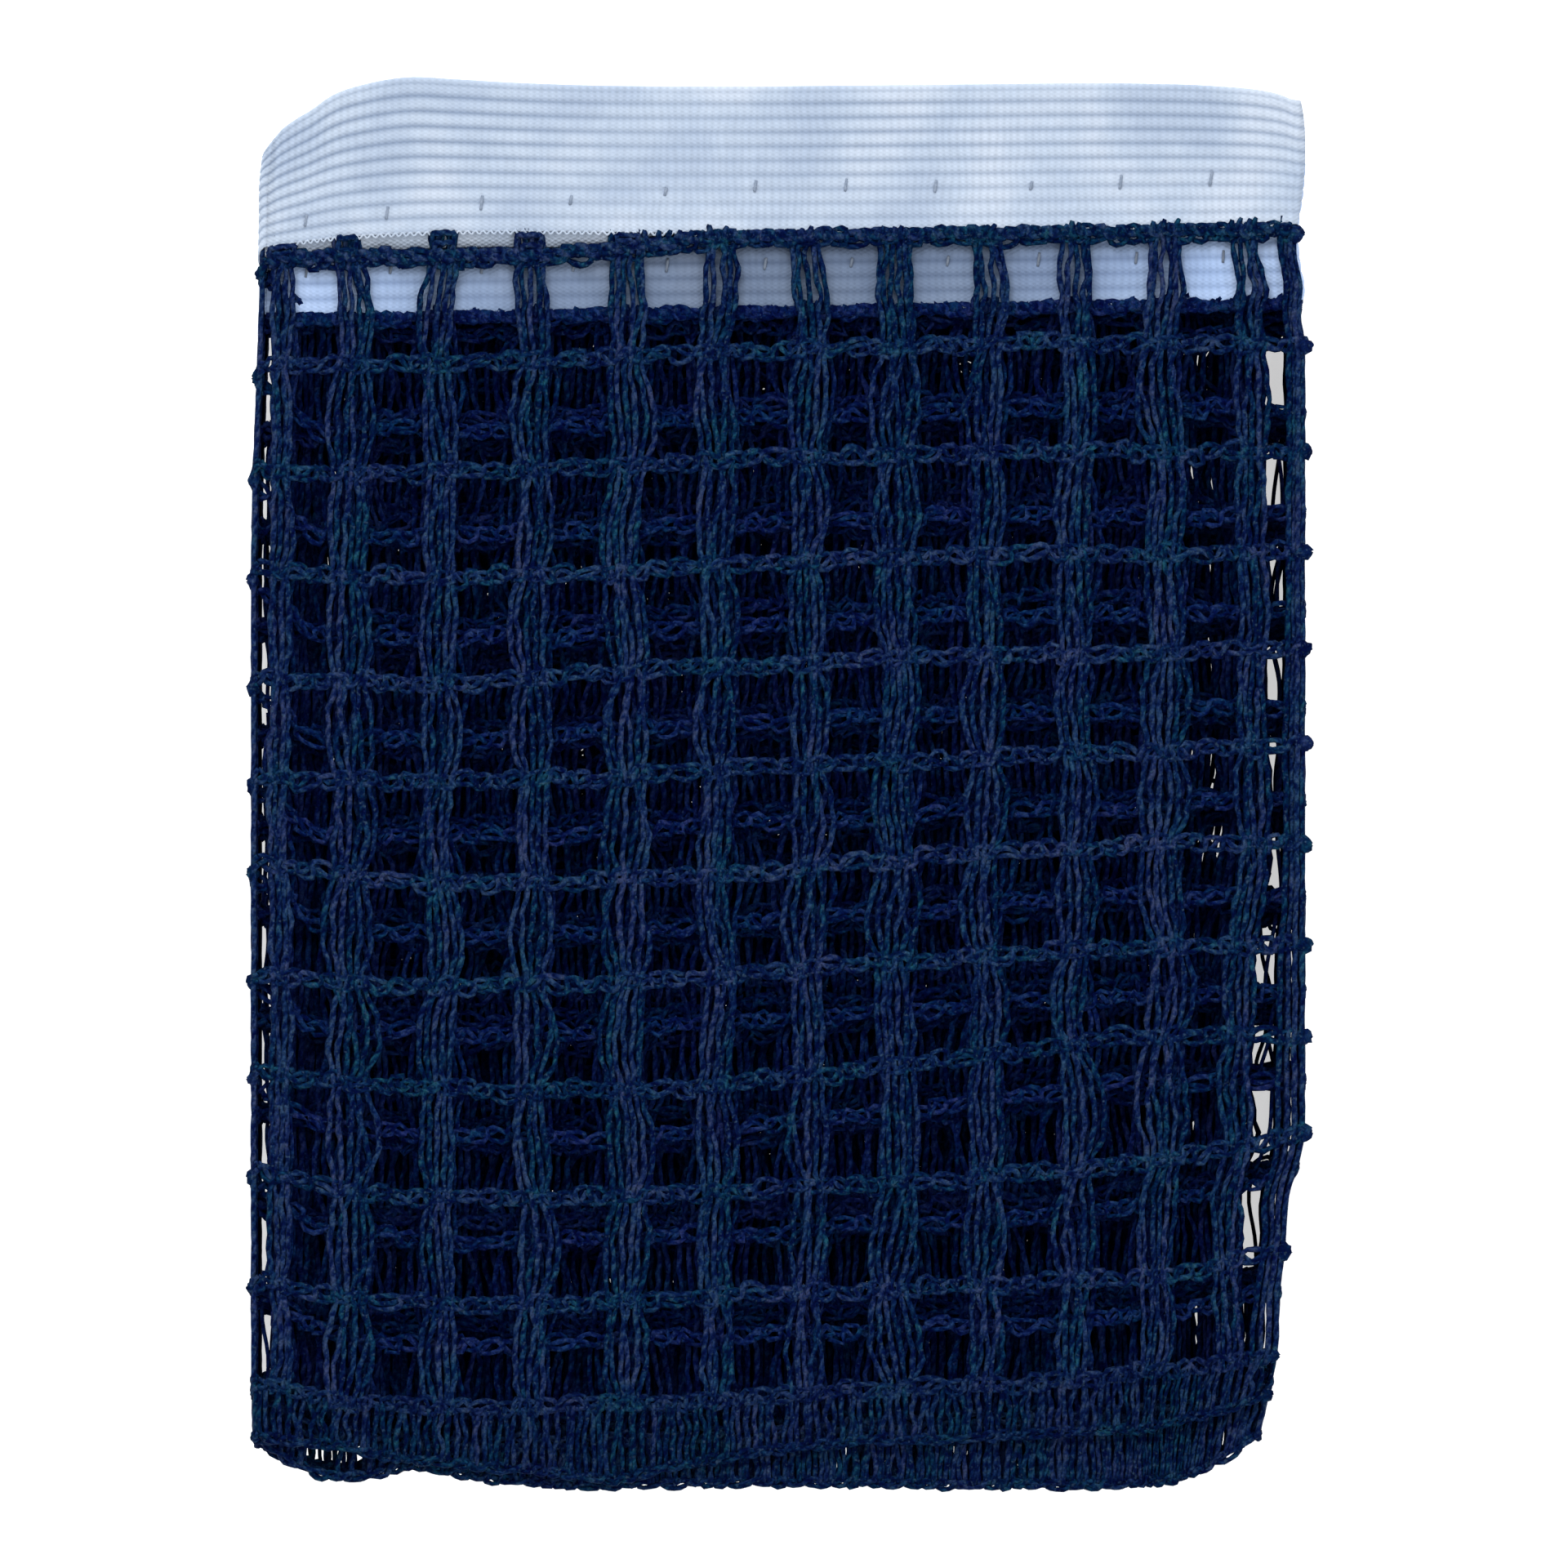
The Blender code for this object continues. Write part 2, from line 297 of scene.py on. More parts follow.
# ------------------------------------------------------------------ meshes
class Sheaf:
    """Collects tubes and other faces, and makes one mesh of them."""

    def __init__(self):
        self.points, self.faces, self.tint, self.shade, self.ply, self.count = [], [], [], [], [], 0
        self.laid = []

    def add(self, points, faces, tint, shade=None, ply=None):
        points = points.reshape(-1, 3)
        self.ply.append(np.zeros((len(points), 3), np.float32) if ply is None else ply.reshape(-1, 3).astype(np.float32))
        self.points.append(points)
        self.faces += [f + self.count for f in faces]
        self.tint.append(np.broadcast_to(tint, len(points)).astype(np.float32))
        self.shade.append(np.zeros(len(points), np.float32) if shade is None else shade.ravel().astype(np.float32))
        self.count += len(points)

    def tubes(self, paths, radius, sides, across, tint):
        """paths is tubes x stations x 3, across a direction that no tube runs along. Each point also keeps
        where it lies round the yarn and how far along it, which lays the yarn's twist."""
        paths = np.asarray(paths, float)
        tubes, stations = paths.shape[:2]
        steps = np.linalg.norm(np.diff(paths, axis=1), axis=2)
        length = np.concatenate([np.zeros((tubes, 1)), np.cumsum(steps, axis=1)], axis=1)
        run = np.gradient(paths, axis=1)
        run /= np.linalg.norm(run, axis=2, keepdims=True) + 1e-12
        across = np.asarray(across, float)
        u = across - (run @ across)[..., None] * run
        u /= np.linalg.norm(u, axis=2, keepdims=True) + 1e-12
        v = np.cross(run, u)
        turn = 2 * np.pi * (np.arange(sides) + 0.5) / sides
        self.laid.append((paths, float(np.mean(radius)) * (0.785 if sides == 4 else 0.86)))
        radius = np.broadcast_to(radius, (tubes, stations))[..., None, None] * (1.11 if sides == 4 else 1.06)
        ring = paths[:, :, None] + radius * (
            np.cos(turn)[:, None] * u[:, :, None] + np.sin(turn)[:, None] * v[:, :, None]
        )
        number = np.arange(tubes * stations * sides).reshape(tubes, stations, sides)
        after = np.roll(number, -1, axis=2)
        quads = np.stack([number[:, :-1], after[:, :-1], after[:, 1:], number[:, 1:]], axis=-1).reshape(-1, 4)
        ply = np.empty((tubes, stations, sides, 3))
        ply[..., 0], ply[..., 1], ply[..., 2] = np.cos(turn), np.sin(turn), length[..., None]
        self.add(
            ring,
            [quads, number[:, 0, ::-1], number[:, -1]],
            np.repeat(np.asarray(tint, float), stations * sides) if np.ndim(tint) else tint,
            ply=ply,
        )

    def knot(self, centre, size, tint, draw):
        """A small lumpy knot of yarn."""
        rings, spokes = 7, 9
        a = np.linspace(0.12, np.pi - 0.12, rings)[:, None]
        b = np.linspace(0, 2 * np.pi, spokes, endpoint=False)[None, :]
        lump = 1 + 0.16 * draw.standard_normal((rings, spokes)).clip(-1.4, 1.4)
        shape = np.stack([np.cos(a) + 0 * b, np.sin(a) * np.cos(b), np.sin(a) * np.sin(b)], axis=-1)
        points = np.asarray(centre) + shape * lump[..., None] * np.asarray(size)
        number = np.arange(rings * spokes).reshape(rings, spokes)
        after = np.roll(number, -1, axis=1)
        quads = np.stack([number[:-1], number[1:], after[1:], after[:-1]], axis=-1).reshape(-1, 4)
        self.add(points, [quads, number[:1], number[-1:, ::-1]], tint)

    def grid(self, points, tint, shade):
        """Sections x points round each, closed round the section and capped at both ends."""
        sections, around = points.shape[:2]
        number = np.arange(sections * around).reshape(sections, around)
        after = np.roll(number, -1, axis=1)
        quads = np.stack([number[:-1], after[:-1], after[1:], number[1:]], axis=-1).reshape(-1, 4)
        caps = [number[:1, ::-1], number[-1:]]
        a, b, c, d = (points.reshape(-1, 3)[quads[:, n]] for n in range(4))
        if (a * np.cross(b, c)).sum() + (a * np.cross(c, d)).sum() < 0:
            quads, caps = quads[:, ::-1], [f[:, ::-1] for f in caps]
        self.add(points, [quads, *caps], tint, shade)

    def make(self, name, material):
        points = pulled(np.concatenate(self.points)) * 0.001
        mesh = bpy.data.meshes.new(name)
        mesh.vertices.add(len(points))
        mesh.vertices.foreach_set("co", points.astype(np.float32).ravel())
        corners = np.concatenate([f.ravel() for f in self.faces]).astype(np.int32)
        sizes = np.concatenate([np.full(len(f), f.shape[1], np.int32) for f in self.faces])
        mesh.loops.add(len(corners))
        mesh.loops.foreach_set("vertex_index", corners)
        mesh.polygons.add(len(sizes))
        mesh.polygons.foreach_set("loop_start", np.concatenate([[0], np.cumsum(sizes)[:-1]]).astype(np.int32))
        mesh.polygons.foreach_set("loop_total", sizes)
        mesh.polygons.foreach_set("use_smooth", sizes == 4)
        mesh.update(calc_edges=True)
        for label, values in (("tint", self.tint), ("shade", self.shade)):
            mesh.attributes.new(label, "FLOAT", "POINT").data.foreach_set("value", np.concatenate(values))
        mesh.attributes.new("ply", "FLOAT_VECTOR", "POINT").data.foreach_set("vector", np.concatenate(self.ply).ravel())
        mesh.materials.append(material)
        piece = bpy.data.objects.new(name, mesh)
        bpy.context.scene.collection.objects.link(piece)
        return piece


# ------------------------------------------------------------------ materials
def shader(name):
    made = bpy.data.materials.new(name)
    made.use_nodes = True
    tree = made.node_tree
    return made, tree, tree.nodes["Principled BSDF"]


def node(tree, kind, **values):
    made = tree.nodes.new(kind)
    for key, value in values.items():
        if key in made.inputs:
            made.inputs[key].default_value = value
        else:
            setattr(made, key, value)
    return made


def maths(tree, operation, a, b=None, c=None):
    made = tree.nodes.new("ShaderNodeMath")
    made.operation = operation
    for slot, value in zip(made.inputs, (a, b, c)):
        if value is None:
            continue
        if isinstance(value, (int, float)):
            slot.default_value = value
        else:
            tree.links.new(value, slot)
    return made.outputs[0]


def mixed(tree, share, a, b, kind="MIX"):
    made = tree.nodes.new("ShaderNodeMix")
    made.data_type = "RGBA"
    made.blend_type = kind
    for slot, value in ((made.inputs["Factor"], share), (made.inputs[6], a), (made.inputs[7], b)):
        if isinstance(value, (int, float, tuple)):
            slot.default_value = value
        else:
            tree.links.new(value, slot)
    return made.outputs[2]


def noise(tree, place, scale, detail=2.0):
    made = node(tree, "ShaderNodeTexNoise", Scale=scale, Detail=detail)
    tree.links.new(place, made.inputs["Vector"])
    return made.outputs["Fac"]


def ramp(tree, value, *stops):
    made = tree.nodes.new("ShaderNodeValToRGB")
    tree.links.new(value, made.inputs["Fac"])
    line = made.color_ramp
    while len(line.elements) < len(stops):
        line.elements.new(0.5)
    for element, (place, colour) in zip(line.elements, stops):
        element.position, element.color = place, (*colour, 1.0)
    return made.outputs["Color"]


def yarn_material(name, depth, blue=1.5):
    """Textured polyester yarn, navy, with fibres that catch blue, teal or violet light. The glints are painted
    highlights. A depth below 1 is painted shade: it makes the yarn darker and, by blue, bluer.
    """
    made, tree, main = shader(name)
    place = tree.nodes.new("ShaderNodeTexCoord").outputs["Object"]
    own = node(tree, "ShaderNodeAttribute", attribute_name="tint").outputs["Fac"]
    knobs = noise(tree, place, 1100.0, 2.0)
    fibres = noise(tree, place, 4200.0, 3.0)
    hues = noise(tree, place, 170.0, 2.0)
    around = node(tree, "ShaderNodeAttribute", attribute_name="ply").outputs["Vector"]
    parts = tree.nodes.new("ShaderNodeSeparateXYZ")
    tree.links.new(around, parts.inputs[0])
    angle = maths(tree, "ARCTAN2", parts.outputs["Y"], parts.outputs["X"])
    twist = maths(tree, "MULTIPLY_ADD", parts.outputs["Z"], -4 * math.pi / PLY_TURN, maths(tree, "MULTIPLY", knobs, 5.0))
    strands = maths(tree, "COSINE", maths(tree, "MULTIPLY_ADD", angle, 2.0, twist))
    light = maths(tree, "ADD", maths(tree, "MULTIPLY", knobs, 0.95), maths(tree, "MULTIPLY", own, 0.16))
    light = maths(tree, "MULTIPLY_ADD", strands, 0.085, light)
    body = ramp(
        tree,
        light,
        (0.36, (0.0004, 0.0022, 0.026)),
        (0.52, (0.0018, 0.0088, 0.042)),
        (0.66, (0.0078, 0.0240, 0.068)),
        (0.78, (0.0188, 0.0420, 0.083)),
    )
    cast = ramp(
        tree,
        maths(tree, "ADD", maths(tree, "MULTIPLY", hues, 0.75), maths(tree, "MULTIPLY", own, 0.25)),
        (0.38, (0.55, 1.35, 0.95)),
        (0.50, (0.90, 1.00, 1.00)),
        (0.68, (1.50, 0.88, 1.02)),
    )
    colour = mixed(tree, 1.0, body, cast, "MULTIPLY")
    # painted highlights: small bright glints mixed into the yarn colour where fibres would catch the light
    glints = ramp(tree, noise(tree, place, 2300.0, 1.0), (0.60, (0.0, 0.0, 0.0)), (0.74, (0.55, 0.55, 0.55)))
    colour = mixed(tree, glints, colour, (0.038, 0.068, 0.099, 1.0))
    # painted shade: a depth below 1 makes the yarn darker and, by the amount blue, bluer
    shaded = 1.0 - depth
    colour = mixed(
        tree, 1.0, colour, (depth * (0.88 - 0.1 * shaded), depth * 0.94, depth * (1.04 + blue * shaded), 1.0), "MULTIPLY"
    )
    frayed = ramp(tree, fibres, (0.40, (0.72, 0.72, 0.72)), (0.62, (1.35, 1.35, 1.35)))
    colour = mixed(tree, 1.0, colour, frayed, "MULTIPLY")
    tree.links.new(colour, main.inputs["Base Color"])
    rough = maths(tree, "MULTIPLY_ADD", fibres, 0.25, 0.62)
    tree.links.new(rough, main.inputs["Roughness"])
    main.inputs["Specular IOR Level"].default_value = 0.035
    main.inputs["Specular Tint"].default_value = (0.35, 0.6, 1.0, 1.0)
    relief = maths(tree, "ADD", maths(tree, "MULTIPLY", fibres, 0.6), maths(tree, "MULTIPLY", knobs, 0.5))
    relief = maths(tree, "MULTIPLY_ADD", strands, 0.30, relief)
    bump = node(tree, "ShaderNodeBump", Strength=0.7, Distance=0.00012)
    tree.links.new(relief, bump.inputs["Height"])
    tree.links.new(bump.outputs["Normal"], main.inputs["Normal"])
    return made


def tape_material(name, depth, painted_middle_shade=False):
    """White ribbed tape in a close plain weave. The grooves between its ribs are greyer: painted shade. The inner
    lengths are greyer too, most of all at the middle of their length: painted shade of the tape deep in the pack."""
    made, tree, main = shader(name)
    place = tree.nodes.new("ShaderNodeTexCoord").outputs["Object"]
    groove = node(tree, "ShaderNodeAttribute", attribute_name="shade").outputs["Fac"]
    split = tree.nodes.new("ShaderNodeSeparateXYZ")
    tree.links.new(place, split.inputs[0])
    x, y = split.outputs["X"], split.outputs["Y"]
    uneven = maths(tree, "MULTIPLY", noise(tree, place, 260.0, 1.0), 7.0)
    warp = maths(tree, "SINE", maths(tree, "MULTIPLY_ADD", x, 2 * math.pi / 0.00082, uneven))
    weft = maths(tree, "SINE", maths(tree, "MULTIPLY", y, 2 * math.pi / 0.00043))
    cloud = noise(tree, place, 90.0, 3.0)
    slub = noise(tree, place, 900.0, 2.0)
    body = ramp(
        tree,
        cloud,
        (0.36, (0.385 * depth, 0.462 * depth, 0.590 * depth)),
        (0.50, (0.442 * depth, 0.520 * depth, 0.640 * depth)),
        (0.64, (0.505 * depth, 0.572 * depth, 0.680 * depth)),
    )
    # painted shade in the grooves between the ribs, as strong as the shade attribute
    painted_groove_shade = mixed(tree, maths(tree, "MULTIPLY", groove, 0.85), body, (0.165 * depth, 0.222 * depth, 0.335 * depth, 1.0))
    patches = noise(tree, place, 60.0, 1.0)
    threads = maths(tree, "MULTIPLY_ADD", warp, maths(tree, "MULTIPLY", patches, 0.085), 0.98)
    specks = maths(tree, "MULTIPLY_ADD", slub, 0.16, 0.92)
    both = maths(tree, "MULTIPLY", threads, specks)
    shades = tree.nodes.new("ShaderNodeCombineColor")
    for slot in shades.inputs:
        tree.links.new(both, slot)
    cloth = mixed(tree, 1.0, painted_groove_shade, shades.outputs[0], "MULTIPLY")
    # painted shade: the inner lengths of tape are darker and bluer towards the middle of the pack and paler towards its
    # ends
    if painted_middle_shade:
        ends = maths(tree, "POWER", maths(tree, "MULTIPLY", maths(tree, "ABSOLUTE", x), 1 / 0.046), 2.5)
        pale = maths(tree, "MINIMUM", maths(tree, "MULTIPLY_ADD", ends, 0.88, 0.61), 1.6)
        tone = tree.nodes.new("ShaderNodeCombineColor")
        for slot, share in zip(tone.inputs, (0.86, 0.98, 1.20)):
            tree.links.new(maths(tree, "MULTIPLY", pale, share), slot)
        cloth = mixed(tree, 1.0, cloth, tone.outputs[0], "MULTIPLY")
    tree.links.new(cloth, main.inputs["Base Color"])
    main.inputs["Roughness"].default_value = 0.82
    main.inputs["Specular IOR Level"].default_value = 0.25
    main.inputs["Sheen Weight"].default_value = 0.08
    weave = maths(tree, "ADD", maths(tree, "MULTIPLY", warp, weft), maths(tree, "MULTIPLY", slub, 0.8))
    bump = node(tree, "ShaderNodeBump", Strength=0.45, Distance=0.00005)
    tree.links.new(weave, bump.inputs["Height"])
    tree.links.new(bump.outputs["Normal"], main.inputs["Normal"])
    return made


def floor_material():
    made, tree, main = shader("pale_floor")
    place = tree.nodes.new("ShaderNodeTexCoord").outputs["Object"]
    grain = ramp(tree, noise(tree, place, 6.0, 2.0), (0.3, (0.90, 0.90, 0.90)), (0.7, (0.93, 0.93, 0.93)))
    tree.links.new(grain, main.inputs["Base Color"])
    tree.links.new(grain, main.inputs["Emission Color"])
    main.inputs["Emission Strength"].default_value = FLOOR_GLOW
    main.inputs["Roughness"].default_value = 0.9
    main.inputs["Specular IOR Level"].default_value = 0.1
    return made


FLOOR_GLOW = 0.62          # it stands for a light table, so that the cells at the pack's ends show pale
FRONT_YARN = yarn_material("netting_yarn", 1.0)
# painted shade: the second and inner layers' netting yarn are copies of the front yarn, darker and bluer
SECOND_YARN = yarn_material("netting_yarn_second_layer_painted_shade", 0.62)
DEEP_YARN = yarn_material("netting_yarn_inner_layers_painted_shade", 0.42)
BAND_YARN = yarn_material("band_yarn", 0.81, 0.3)
# painted shade: the inner layers' band yarn, darker and bluer
BAND_DEEP = yarn_material("band_yarn_inner_layers_painted_shade", 0.6, 0.5)
TAPE = tape_material("tape_weave", 1.0)
# painted shade: the inner lengths of tape are darker and bluer than the front one, most of all at the middle of their
# length
TAPE_INNER = tape_material("tape_weave_inner_layers_painted_shade", 0.58, painted_middle_shade=True)


def yarn_of(k):
    return FRONT_YARN if k in (1, PANELS) else SECOND_YARN if k == 2 else DEEP_YARN


def band_of(k):
    return BAND_YARN if k in (1, 2, PANELS) else BAND_DEEP


# ------------------------------------------------------------------ chains across the net
def strip_place(k, x):
    """How far along the strip a point of panel k lies."""
    start = (k - 1) * (2 * BEND_X + BEND_LENGTH)
    return start + (BEND_X - x if k % 2 else x + BEND_X)


def plait(r, s, which, swing=CHAIN_SWING, rise=CHAIN_RISE, scallops=1.0):
    """How one of a chain's three yarns lies at s along the strip: shifted along it, across it and off its
    middle. Two yarns make round stitches that lean over each other, and the third winds through them."""
    turn = 2 * np.pi * s / CHAIN_STITCH + wobble((r, 7), s, 2.6, (41.0, 17.0, 8.3))
    width = swing * (1 + wobble((r, which, 8), s, 0.60, (9.7, 6.1, 3.9)))
    scallop = scallops * (0.42 * (np.abs(np.sin(np.pi * s / 3.3 + r)) - 0.6) + wobble((r, 9), s, 0.16, (7.3, 5.1)))
    if which == 2:
        return 0 * s, 0.66 * width * np.sin(1.37 * turn + 1.0) + scallop, 0.8 * rise * np.sin(turn)
    way = 1.0 - 2.0 * which
    along = 0.118 * CHAIN_STITCH * np.sin(2 * turn) * min(1.0, swing / CHAIN_SWING)
    along = along * (1 + wobble((r, which, 10), s, 0.6, (8.1, 5.2, 3.1)))
    return along, way * width * np.cos(turn) + scallop, way * rise * np.sin(turn)


def chain_on_panel(
    sheaf, k, r, spacing, sides, draw, ends=(-BEND_X, BEND_X), swing=CHAIN_SWING, radius=CHAIN_R, scallops=1.0
):
    for which in range(3):
        apart = spacing if which < 2 else spacing * 1.5
        x = np.linspace(ends[0], ends[1], int((ends[1] - ends[0]) / apart) + 1)
        along, lateral, normal = plait(r, strip_place(k, x), which, swing, scallops=scallops)
        along = along * step((BEND_X - np.abs(x)) / 1.2)
        path = np.stack([x - face(k) * along, row(k, r, x) + lateral, LAYER[k] + face(k) * normal], axis=-1)
        fat = radius * (1 + 0.20 * draw.uniform(-1, 1, (1, len(x))))
        sheaf.tubes(path[None], fat, sides if which < 2 else 4, (0, 0, 1), draw.uniform(0, 1, 1))


def chain_on_bend(sheaf, k, r, sides, draw, swing=CHAIN_SWING, radius=CHAIN_R, scallops=1.0):
    count = 9
    arc = np.linspace(0, BEND_LENGTH, count)
    s = strip_place(k, side_of(k) * BEND_X) + arc
    angle = np.pi / 2 - arc / BEND_R
    y = round_bend(lambda n, t: row(n, r, t), k, arc / BEND_LENGTH)
    middle, paths = (LAYER[k] + LAYER[k + 1]) / 2, []
    for which in range(3):
        _, lateral, normal = plait(r, s, which, swing, scallops=scallops)
        out = BEND_R + face(k) * normal * (1 - 0.55 * np.cos(angle))
        paths.append(
            np.stack([bend_x(k, out, angle), y + lateral, middle + out * np.sin(angle)], axis=-1)
        )
    sheaf.tubes(paths, radius, sides, (0, 1, 0), draw.uniform(0, 1, 3))


# ------------------------------------------------------------------ upright ribbons
def column_x(k, j, y):
    """The middle of a ribbon. The deeper layers' first and last ribbons lie spread over the end cells."""
    x, y = COLUMNS[j], np.asarray(y, float)
    if k == 1:
        if j == 11:
            x = slit(y)[0] - 2.35
        elif j == 0:
            x = x - 0.55 * step((y - 38.0) / 8.0)
        return x + wobble((1, j, 4), y, 0.2 if j in (0, 11) else 0.75, (44.0, 27.0, 19.0))
    spread = ((k * 5) % 14) / 13
    if j == 0:
        return x + (0.2 if k == 2 else 4.3 * spread) + wobble((k, j, 4), y, 0.25 + 0.3 * spread, (44.0, 27.0, 19.0))
    if j == 11:
        return slit(y)[0] - 2.1 - (0.2 if k == 2 else 2.9 * spread) + wobble((k, j, 4), y, 0.15 + 0.4 * spread, (44.0, 27.0, 19.0))
    slip = slip_along(k)
    if j == 10:
        slip = min(slip, 3.8)
    return x + slip + wobble((k, j, 4), y, 0.9, (44.0, 27.0, 19.0))


# Where a front ribbon's yarns lie in the top cell: in two or three groups, with the second tape in between.
PARTED = {4: (-1.45, -0.75, 0.55, 1.45), 5: (-1.65, -1.10, -0.30, 0.85, 1.55), 6: (-1.75, -1.30, -0.45, 0.45, 1.15, 1.70)}


def ribbon(k, j, yarns, spacing, draw):
    """The yarns of one ribbon: drawn together at each chain and spread between two."""
    heights = [float(row(k, r, COLUMNS[j])) for r in range(ROWS)]
    top = float(tape_low(k, COLUMNS[j]))
    tight, wide = (0.52, 0.66) if j == 0 else (0.60, 0.80) if j == 11 else (0.66, 0.95)
    if k > 2 and 0 < j < 11:
        tight, wide = 0.80, 1.12
    slots = np.arange(yarns) - (yarns - 1) / 2
    place = slots.copy()
    knots_y, knots_x, knots_m = [], [], []

    def knot(y, offsets, depth):
        knots_y.append(y)
        knots_x.append(offsets + column_x(k, j, y) + 0.17 * draw.uniform(-1, 1, yarns))
        knots_m.append(depth)

    knot(top + 0.9, place * tight * 0.95, np.zeros(yarns))
    knot(heights[0], place * tight, 0.10 * draw.uniform(-1, 1, yarns))
    for r in range(ROWS - 1):
        if k == 1 and r == 0:
            gap = heights[0] - heights[1]
            parted = np.array(PARTED[yarns]) * (0.72 if j == 0 else 0.85 if j == 11 else 1.0)
            if draw.uniform() < 0.5:
                parted = -parted[::-1]
            for share, wide_here in ((0.12, 0.86), (0.30, 0.98), (0.52, 1.06), (0.74, 0.95)):
                loose = 0.13 * draw.uniform(-1, 1, yarns)
                knot(heights[0] - share * gap, parted * wide_here + loose, 0.17 * draw.uniform(-1, 1, yarns))
            knot(heights[1], place * tight, 0.08 * draw.uniform(-1, 1, yarns))
            continue
        swapped = place.copy()
        for n in range(yarns - 1):
            if draw.uniform() < 0.22:
                a, b = np.argsort(swapped)[n : n + 2]
                swapped[a], swapped[b] = swapped[b], swapped[a]
        spread = wide * draw.uniform(0.74, 1.12)
        gap = heights[r] - heights[r + 1]
        sideways = 0.35 * draw.uniform(-1, 1)
        knot(heights[r] - 0.34 * gap, (place * 0.4 + swapped * 0.6) * spread + sideways, 0.17 * draw.uniform(-1, 1, yarns))
        knot(heights[r] - 0.68 * gap, swapped * spread + sideways, 0.17 * draw.uniform(-1, 1, yarns))
        place = swapped
        knot(heights[r + 1], place * tight, 0.08 * draw.uniform(-1, 1, yarns))
    knot(heights[-1] - 0.8, place * tight, np.zeros(yarns))
    low, high = knots_y[-1], knots_y[0]
    y = np.linspace(low, high, int((high - low) / spacing) + 1)
    back = np.array(knots_y[::-1])
    paths = []
    for n in range(yarns):
        x = through(list(zip(back, np.array(knots_x)[::-1, n])), y) + wobble((k, j, n, 6), y, 0.20, (5.3, 3.7, 2.9))
        m = through(list(zip(back, np.array(knots_m)[::-1, n])), y)
        paths.append(np.stack([x, y, LAYER[k] + face(k) * m], axis=-1))
    return np.array(paths)


def upright(k, number, spacing, amount):
    """One yarn that runs up a panel between its slit and its right end: share 0 beside the slit, 1 at the end."""
    share, outer = END_YARNS[k in (1, PANELS)][number]
    outer = min(outer, 57.3) if k > 1 else outer
    low, high = float(row(k, ROWS - 1, outer)) - 0.8, float(tape_low(k, outer)) + 0.9
    y = np.linspace(low, high, int((high - low) / spacing) + 1)
    inner = slit(y)[1] + 0.36
    across = inner + share * (outer - inner) + wobble((k, number, 11), y, amount, (13.0, 7.1, 4.4))
    m = wobble((k, number, 12), y, 0.14, (17.0, 9.0)) + 0.14 * (-1) ** number
    return np.stack([across, y, LAYER[k] + face(k) * m], axis=-1)


# The yarns beside the right end, on the inner panels and on the two outer ones.
END_YARNS = {False: ((0.45, 57.1),), True: ((0.0, 57.7), (0.36, 57.7), (0.68, 57.7), (1.0, 57.7))}


def stray(k, y0, y1, x0, x1, draw):
    """A loose yarn that crosses an end cell."""
    t = np.linspace(0, 1, 11)
    x = x0 + (x1 - x0) * step(t) + 0.16 * np.sin(2 * np.pi * t * draw.uniform(0.8, 1.6) + draw.uniform(0, 6))
    return np.stack([x, y0 + (y1 - y0) * t, LAYER[k] + 0.1 * np.sin(3 * t)], axis=-1)[None]


def netting_panel(k):
    front = k == 1
    shown = k in (1, 2, PANELS)
    sides = 5 if front else 4
    spacing = 0.80 if front else 1.0 if shown else 1.25
    draw, sheaf = random(k, 20), Sheaf()
    for j in range(len(COLUMNS)):
        yarns = 4 if j == 0 or k in (2, PANELS) else 6 if front and j % 3 == 1 else 5
        paths = ribbon(k, j, yarns, spacing, draw)
        fat = (YARN_R if shown else 0.35) * (1 + 0.20 * draw.uniform(-1, 1, paths.shape[:2]))
        sheaf.tubes(paths, fat, sides, (1, 0, 0), draw.uniform(0, 1, yarns))
    free = k in (1, PANELS)
    for number in range(len(END_YARNS[free])):
        path = upright(k, number, spacing, 0.12 if free else 0.35)[None]
        sheaf.tubes(path, YARN_R * (1 + 0.14 * draw.uniform(-1, 1, path.shape[:2])), sides, (1, 0, 0), draw.uniform(0, 1, 1))
    if k > 2:
        # The layers' end ribbons aren't tidy: here and there a yarn has slipped into a slit.
        for r in range(1, ROWS - 1):
            for ends in (0, 1):
                if draw.uniform() < 0.16:
                    high, low = float(row(k, r, 55.0)) + 0.3, float(row(k, r + 1, 55.0)) - 0.3
                    a, b = slit(0.5 * (high + low))
                    x0, x1 = (a + draw.uniform(-0.2, 0.5), b + draw.uniform(-0.5, 0.2)) if ends else (
                        -56.0 - draw.uniform(0.0, 1.0), -56.2 - draw.uniform(-0.3, 0.9)
                    )
                    if draw.uniform() < 0.5:
                        x0, x1 = x1, x0
                    sheaf.tubes(stray(k, low, high, x0, x1, draw), 0.28, sides, (1, 0, 0), draw.uniform(0, 1, 1))
    across = 0.37 if front else 0.5 if shown else 0.62
    for r in range(ROWS - 1):
        chain_on_panel(sheaf, k, r, across, sides, draw, (-BEND_X, BEND_X + (0.5 if front else 0.0)))
        if free:
            out, size = (0.62, 0.92) if front else (0.0, 0.62)
            sheaf.knot((BEND_X + out, float(row(k, r, BEND_X)), LAYER[k]), (size, 1.04, 0.50), draw.uniform(), draw)
    return sheaf


